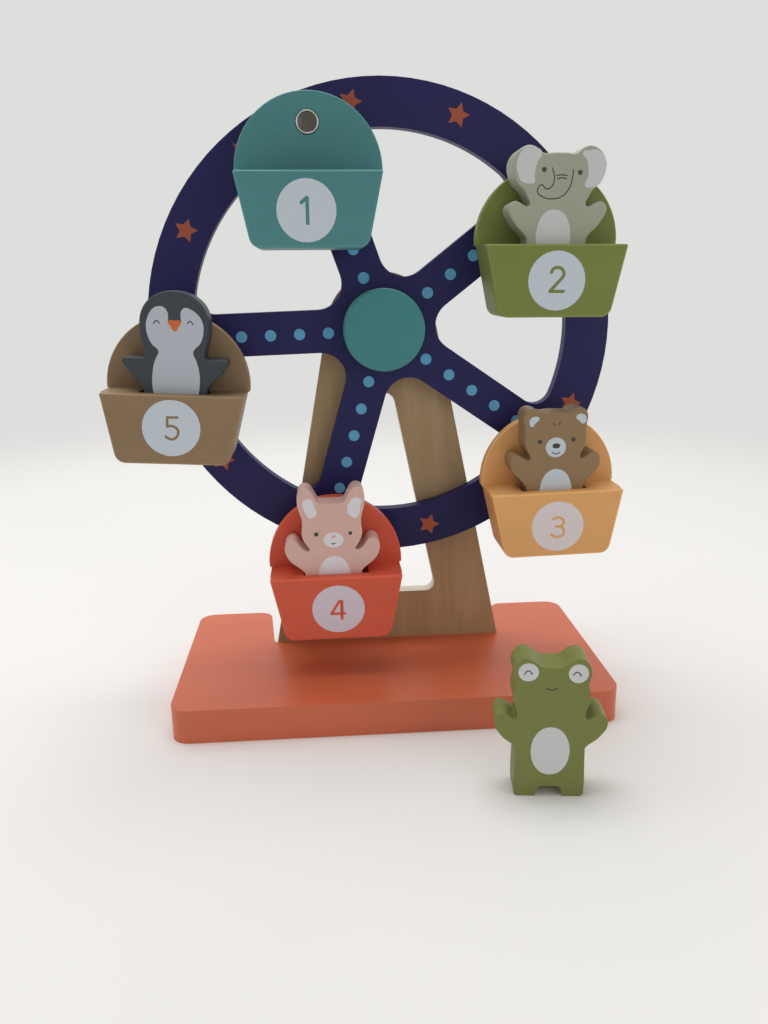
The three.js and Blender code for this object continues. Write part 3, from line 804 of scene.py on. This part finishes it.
class FERRIS_OT_figures(bpy.types.Operator):
    """Ease and paint the animal figures"""

    bl_idname = "ferris.figures"
    bl_label = "Animal figures"

    def execute(self, context):
        for kind, slot in FIGURE_SLOTS.items():
            material = painted_board(f"Satin paint {kind}", getattr(colours(), kind)[:], "Z",
                                     edge_wear_and_highlight=FIGURE_EDGE_WEAR_AND_HIGHLIGHT)
            add_board(f"{kind}_painted", kind, sizes().figure_edge, material, kind)
        return {"FINISHED"}


# The section of a bolt's cap from its recess over its rolled rim to its back, in millimetres:
# how far inside its radius, and how far behind its front.
BOLT_CAP = ((1.1, 0.75), (0.95, 0.65), (0.9, 0.3), (0.75, 0.08), (0.5, 0.0), (0.25, 0.06),
            (0.05, 0.25), (0.0, 0.6), (0.0, 1.7))
BOLT_SHANK = 2.1
# What lies this far inside the cap's radius and this close to its front is its recess, rougher than the
# rim and painted dark as shade.
RECESS_INSIDE = 1.0
RECESS_DEPTH = 1.0
# Words in the names of the fittings that are plated steel. The rest are nylon.
STEEL_WORDS = ("screw", "rod", "pin", "insert")


class FERRIS_OT_fasteners(bpy.types.Operator):
    """Make the bolts bright and finish the hidden fittings"""

    bl_idname = "ferris.fasteners"
    bl_label = "Bolts and fittings"

    def execute(self, context):
        colour = colours()
        bright = plated_steel("Bright zinc plate", colour.zinc[:], 0.2)
        # Painted shade: the recess's plate is much darker than the rim's, as well as rougher.
        dull = plated_steel("Dull plated recess", colour.recess[:], 0.42)
        nylon = moulded_nylon("Moulded nylon", colour.nylon[:])
        for number in NUMBERS:
            self.turn_bolt(number, bright, dull)
        for node, packed in frame["nodes"].items():
            if packed.hide_render:
                continue
            shines = any(word in node for word in STEEL_WORDS)
            packed.data.materials.clear()
            packed.data.materials.append(bright if shines else nylon)
        return {"FINISHED"}

    def turn_bolt(self, number, bright, dull):
        """A bolt with a bright rolled rim round a recess that is rougher and painted dark as shade."""
        node = f"basket_{number}_pivot_bolt"
        pivot = PIVOTS[number]
        low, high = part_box(node)
        front, back = low.y / MM, high.y / MM
        radius = (high.x - low.x) / 2 / MM
        cap = [(radius - inside, front + behind) for inside, behind in BOLT_CAP]
        profile = [(0.0, cap[0][1]), *cap, (BOLT_SHANK, cap[-1][1]), (BOLT_SHANK, back),
                   (0.0, back)]
        mesh = turned_mesh(node + "_turned", profile, pivot)
        mesh.materials.append(bright)
        mesh.materials.append(dull)
        for face in mesh.polygons:
            out = math.hypot(face.center.x - pivot.x, face.center.z - pivot.z)
            is_recess = (out < (radius - RECESS_INSIDE) * MM
                         and face.center.y < low.y + RECESS_DEPTH * MM)
            face.material_index = int(is_recess)
        add_piece(node + "_turned", mesh, bright, "wheel", [node])


# The first spoke's angle and the step to the next, in degrees anticlockwise from the right.
FIRST_SPOKE = 37.5
SPOKE_STEP = 72.0
# How far each spoke's row of dots drifts along the spoke and across it, in millimetres.
DOT_DRIFT = ((1.4, -0.3), (-0.9, 0.2), (0.0, 1.0), (0.1, 0.4), (-0.3, -0.4))
# The dots on a spoke, the first one's distance from the wheel's middle and the step between.
DOTS_A_SPOKE = 5
FIRST_DOT = 28.2
DOT_STEP = 14.94
# The stars' distance from the wheel's middle, and their angles in degrees.
STAR_RING = 109.4
STAR_ANGLES = (9, 39, 69.2, 97.5, 127.9, 153, 186, 217.9, 250, 282.8, 310, 337.8)
STAR_POINTS = 5
# Radius of a star's inner corners, as a share of its radius.
STAR_WAIST_SHARE = 0.5


class FERRIS_OT_wheel_prints(bpy.types.Operator):
    """Print the dots along the spokes and the stars round the ring"""

    bl_idname = "ferris.wheel_prints"
    bl_label = "Dots and stars"

    def execute(self, context):
        size, colour = sizes(), colours()
        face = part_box("spoked_wheel")[0].y
        place = Matrix.Translation((WHEEL_CENTRE.x, face, WHEEL_CENTRE.z))
        dots = self.dot_outlines(size.dot_radius / MM)
        add_print("wheel_dots", print_shapes(dots, size.print_film), place,
                  screen_print("Screen print blue", colour.dots[:]), "wheel")
        stars = self.star_outlines(size.star_radius / MM)
        add_print("wheel_stars", print_shapes(stars, size.print_film, smooth=False), place,
                  screen_print("Screen print burnt orange", colour.stars[:]), "wheel")
        return {"FINISHED"}

    def dot_outlines(self, radius):
        """A row of dots along each spoke."""
        dots = []
        for spoke, (along, across) in enumerate(DOT_DRIFT):
            angle = math.radians(FIRST_SPOKE + SPOKE_STEP * spoke)
            for step in range(DOTS_A_SPOKE):
                out = FIRST_DOT + DOT_STEP * step + along
                x = out * math.cos(angle) - across * math.sin(angle)
                z = out * math.sin(angle) + across * math.cos(angle)
                dots.append(circle(x, z, radius))
        return dots

    def star_outlines(self, radius):
        """Stars round the ring, each with a point to the right."""
        stars = []
        for angle in (math.radians(degrees) for degrees in STAR_ANGLES):
            x, z = STAR_RING * math.cos(angle), STAR_RING * math.sin(angle)
            stars.append([
                (x + reach * math.cos(corner * math.pi / STAR_POINTS),
                 z + reach * math.sin(corner * math.pi / STAR_POINTS))
                for corner, reach in enumerate([radius, radius * STAR_WAIST_SHARE] * STAR_POINTS)
            ])
        return stars


# Strokes of each number, in millimetres from the middle of its disc.
NUMBER_STROKES = {
    "1": [[(-2.2, 3.5), (0.1, 5.5)], [(0.1, 5.5), (0.4, 5.5)], [(0.4, 5.5), (0.4, -5.5)]],
    "2": [[(-2.8, 3.9), (-1.9, 5.4), (0.2, 6.1), (2.3, 5.3), (3.3, 3.6), (2.8, 1.7), (1.6, 0.3)],
          [(1.6, 0.3), (-3.2, -4.9)], [(-3.2, -4.9), (3.4, -4.9)]],
    "3": [[(-2.5, 4.1), (0.0, 4.7), (2.6, 3.6), (3.2, 2.0), (1.9, 0.2), (-0.8, 0.0)],
          [(1.2, 0.0), (2.6, -0.9), (3.3, -2.8), (2.5, -4.8), (-0.2, -5.6), (-2.3, -5.0),
           (-3.3, -4.1)]],
    "4": [[(0.6, 4.4), (-3.8, -2.5)], [(-3.8, -2.5), (3.2, -2.6)], [(1.6, 4.3), (1.5, -5.3)],
          [(0.6, 4.4), (1.6, 4.3)], [(1.9, 4.2), (1.7, -5.4)]],
    "5": [[(3.0, 5.3), (-1.8, 5.2)], [(-1.8, 5.2), (-1.9, 0.8)],
          [(-1.9, 0.8), (-0.3, 1.1), (1.5, 0.7), (2.8, -0.4), (3.3, -1.8), (2.9, -3.5),
           (1.8, -4.8), (0.2, -5.4), (-1.4, -5.0), (-2.7, -4.2)]],
}
# How bold each number is printed, as a share of the stroke's width.
NUMBER_BOLDNESS = {"1": 1.06, "2": 0.95, "3": 0.86, "4": 0.88, "5": 0.8}
# Each disc's middle from its basket's pivot, and its two half widths, in millimetres.
DISCS = {"1": (-1.3, -41.1, 13.7, 13.9), "2": (0.2, -40.4, 13.8, 13.8),
         "3": (0.0, -41.5, 13.5, 13.2), "4": (0.4, -40.7, 13.6, 12.9),
         "5": (-0.4, -39.5, 13.9, 13.7)}


class FERRIS_OT_numbers(bpy.types.Operator):
    """Print a disc and a number on each basket"""

    bl_idname = "ferris.numbers"
    bl_label = "Numbers"

    def execute(self, context):
        size, colour = sizes(), colours()
        cool = screen_print("Screen print pale disc", colour.white[:])
        # Painted bounce light: discs 3 and 4 are tinted for light reflected from the orange paint near
        # them.
        warm_bounce_disc = screen_print("Screen print warm pale disc", colour.white_with_painted_warm_bounce[:])
        rose_bounce_disc = screen_print("Screen print rose pale disc", colour.white_with_painted_rose_bounce[:])
        inks = {"1": cool, "2": cool, "3": warm_bounce_disc, "4": rose_bounce_disc, "5": cool}
        grown = size.disc_radius / (DISC_RADIUS * MM)
        for number in NUMBERS:
            name = f"basket_{number}"
            place = basket_place(number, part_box(f"{name}_front")[0].y)
            x, z, wide, tall = DISCS[number]
            disc = print_shapes([circle(x, z, wide * grown, tall * grown)], size.print_film)
            add_print(f"{name}_disc", disc, place, inks[number], name)
            strokes = [[(x + a, z + b) for a, b in stroke] for stroke in NUMBER_STROKES[number]]
            width = size.number_stroke * NUMBER_BOLDNESS[number]
            add_print(f"{name}_number", print_strokes(strokes, width, size.print_film), place,
                      screen_print(f"Screen print number {number}", getattr(colour, name)[:]),
                      name, layers=2)
        return {"FINISHED"}


# Faces, in millimetres from a figure's middle line and up from its feet. Each row holds how
# many layers thick it is, whether it is filled outlines or lines, its ink and its points.
FACES = {
    "bear": [
        (1, "fill", "white", [circle(0.1, 49.3, 5.2, 5.1),
                              [(-13.7, 62.8), (-12.7, 64.8), (-10.7, 65.5), (-8.6, 64.6),
                               (-10.7, 62.0), (-12.3, 60.3)],
                              [(10.3, 64.2), (11.3, 65.7), (13.9, 65.8), (15.5, 64.0),
                               (15.2, 61.6), (13.5, 61.0), (11.9, 62.6)],
                              circle(0.3, 25.2, 8.5, 12.9)]),
        (1, "fill", "lines", [circle(-8.2, 52.6, 1.15), circle(9.1, 53.0, 1.15)]),
        (2, "fill", "lines", [circle(0.3, 50.1, 2.0, 1.3)]),
        (2, "line", "lines", [[(-1.7, 46.8), (0.4, 45.9), (2.2, 46.6)]]),
        (1, "line", "lines", [[(-1.4, 61.6), (-0.5, 60.8)], [(2.2, 61.9), (1.3, 61.1)]]),
    ],
    "bunny": [
        (1, "fill", "pink_white", [circle(-0.8, 45.6, 5.1, 4.05),
                                   [(-15.7, 66.1), (-14.1, 67.6), (-11.6, 67.5), (-10.1, 64.0),
                                    (-8.9, 60.1), (-10.5, 58.0), (-13.1, 57.9), (-14.5, 60.3)],
                                   [(9.1, 66.7), (11.7, 67.6), (14.0, 66.5), (13.6, 63.3),
                                    (11.4, 57.1), (8.8, 57.7), (6.9, 59.9)],
                                   circle(-0.8, 24.2, 8.6, 12.7)]),
        (1, "fill", "lines", [circle(-9.5, 48.9, 1.15), circle(8.0, 48.9, 1.0)]),
        (2, "fill", "bunny", [circle(-0.7, 47.4, 1.2, 0.8)]),
        (2, "line", "lines", [[(-1.9, 43.9), (-0.9, 43.4), (0.1, 43.9)]]),
    ],
    "penguin": [
        (1, "fill", "grey_white", [[(-1.7, 60.5), (-1.8, 63.4), (-2.2, 65.8), (-3.9, 67.8),
                                    (-6.2, 68.2), (-9.0, 66.9), (-11.2, 63.6), (-12.2, 59.9),
                                    (-11.7, 54.8), (-9.9, 50.7), (-6.7, 47.0), (-7.7, 44.6),
                                    (-8.8, 41.8), (-9.9, 35.5), (-10.0, 30.8), (-9.1, 26.0),
                                    (-5.0, 17.5), (1.4, 14.6), (8.0, 18.0), (11.8, 27.0),
                                    (12.6, 33.0), (12.4, 37.8), (11.1, 43.0), (9.7, 47.2),
                                    (13.1, 51.6), (14.6, 56.8), (14.2, 61.4), (11.9, 65.0),
                                    (8.6, 67.2), (5.9, 67.8), (4.2, 66.1), (4.0, 63.6),
                                    (3.9, 60.5)]]),
        (2, "fill", "beak", [[(-1.9, 61.5), (1.0, 61.8), (4.1, 61.5), (3.1, 59.1),
                              (1.2, 56.7), (-0.8, 59.0)]]),
        (2, "line", "lines", [[(-8.7, 60.2), (-7.3, 61.5), (-5.9, 60.3)],
                              [(7.1, 60.6), (8.4, 61.7), (9.7, 60.3)]]),
    ],
    "elephant": [
        (1, "fill", "soft_white", [[(-19.4, 64.5), (-19.5, 61.0), (-18.7, 58.0), (-17.2, 55.5),
                                    (-14.3, 54.5), (-11.0, 54.9), (-10.9, 58.0), (-9.9, 63.7),
                                    (-7.8, 68.0), (-10.7, 70.3), (-13.6, 71.0), (-16.9, 69.3)],
                                   [(11.6, 68.1), (14.9, 69.2), (19.7, 68.8), (22.8, 64.7),
                                    (23.0, 61.2), (22.3, 58.1), (19.7, 53.9), (16.4, 52.8),
                                    (13.5, 53.3), (14.6, 58.1), (13.7, 64.7)],
                                   circle(-0.9, 30.2, 8.4, 12.8)]),
        (1, "fill", "lines", [circle(-6.5, 60.6, 1.15), circle(10.7, 59.4, 1.15)]),
        (1, "line", "lines", [[(-2.7, 61.3), (-1.5, 57.0), (-2.7, 53.0), (-5.1, 52.1),
                               (-7.6, 53.9), (-8.9, 52.5), (-9.3, 50.8), (-6.8, 48.6),
                               (-2.0, 47.7), (2.7, 49.0), (5.9, 52.6), (7.1, 57.0), (7.4, 60.5)],
                              [(-0.6, 57.9), (1.8, 58.3), (4.6, 57.9)],
                              [(-0.1, 56.5), (1.8, 57.0), (4.2, 56.6)]]),
    ],
    "frog": [
        (1, "fill", "soft_white", [circle(-10.2, 59.2, 4.3, 4.15), circle(10.8, 58.7, 4.2, 4.3),
                                   circle(0.1, 22.1, 8.35, 11.45)]),
        (2, "line", "lines", [[(-11.9, 58.3), (-10.3, 59.9), (-8.6, 58.4)],
                              [(8.6, 58.2), (10.3, 59.4), (11.9, 57.7)]]),
        (1, "line", "lines", [[(-2.5, 51.8), (-0.2, 51.1), (2.1, 51.9)]]),
    ],
}

# The inks of the faces, each of which is a colour of the same name.
FACE_INKS = ("white", "soft_white", "pink_white", "grey_white", "lines", "beak", "bunny")


class FERRIS_OT_faces(bpy.types.Operator):
    """Print the faces and bellies of the animal figures"""

    bl_idname = "ferris.faces"
    bl_label = "Faces"

    def execute(self, context):
        size, colour = sizes(), colours()
        inks = {name: screen_print(f"Screen print {name}", getattr(colour, name)[:])
                for name in FACE_INKS}
        for kind, rows in FACES.items():
            if kind in RIDERS:
                seat = Matrix.Translation((0.0, 0.0, -SEAT_DROP * MM))
                place = basket_place(RIDERS[kind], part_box(kind)[0].y) @ seat
            else:
                place = (Matrix.Translation((FROG_ASIDE * MM, FROG_AHEAD * MM, 0.0))
                         @ Matrix.Rotation(math.radians(FROG_TURN), 4, "Z"))
            for count, (layers, manner, ink, shapes) in enumerate(rows, 1):
                if manner == "line":
                    mesh = print_strokes(shapes, size.face_stroke, size.print_film)
                else:
                    mesh = print_shapes(shapes, size.print_film)
                add_print(f"{kind}_print_{count}", mesh, place, inks[ink], kind, layers)
        return {"FINISHED"}


class FERRIS_PT_panel(bpy.types.Panel):
    """Lists the steps that dress the toy"""

    bl_label = "Ferris Wheel"
    bl_idname = "FERRIS_PT_panel"
    bl_space_type = "VIEW_3D"
    bl_region_type = "UI"
    bl_category = "Ferris Wheel"

    def draw(self, context):
        for step in STEPS:
            self.layout.operator(step.bl_idname)
        for group in (context.scene.ferris_sizes, context.scene.ferris_colours):
            box = self.layout.box()
            for name in group.__annotations__:
                box.prop(group, name)


STEPS = (FERRIS_OT_stage, FERRIS_OT_boards, FERRIS_OT_baskets, FERRIS_OT_figures,
         FERRIS_OT_fasteners, FERRIS_OT_wheel_prints, FERRIS_OT_numbers, FERRIS_OT_faces)
CLASSES = (FerrisSizes, FerrisColours, *STEPS, FERRIS_PT_panel)


def register():
    for item in CLASSES:
        bpy.utils.register_class(item)
    bpy.types.Scene.ferris_sizes = PointerProperty(type=FerrisSizes)
    bpy.types.Scene.ferris_colours = PointerProperty(type=FerrisColours)


def unregister():
    del bpy.types.Scene.ferris_colours
    del bpy.types.Scene.ferris_sizes
    for item in reversed(CLASSES):
        bpy.utils.unregister_class(item)


def main():
    """Dresses the toy in order."""
    register()
    for step in STEPS:
        group, name = step.bl_idname.split(".")
        if getattr(getattr(bpy.ops, group), name)() != {"FINISHED"}:
            raise RuntimeError(f"{step.bl_label} didn't finish")


if __name__ == "__main__":
    main()
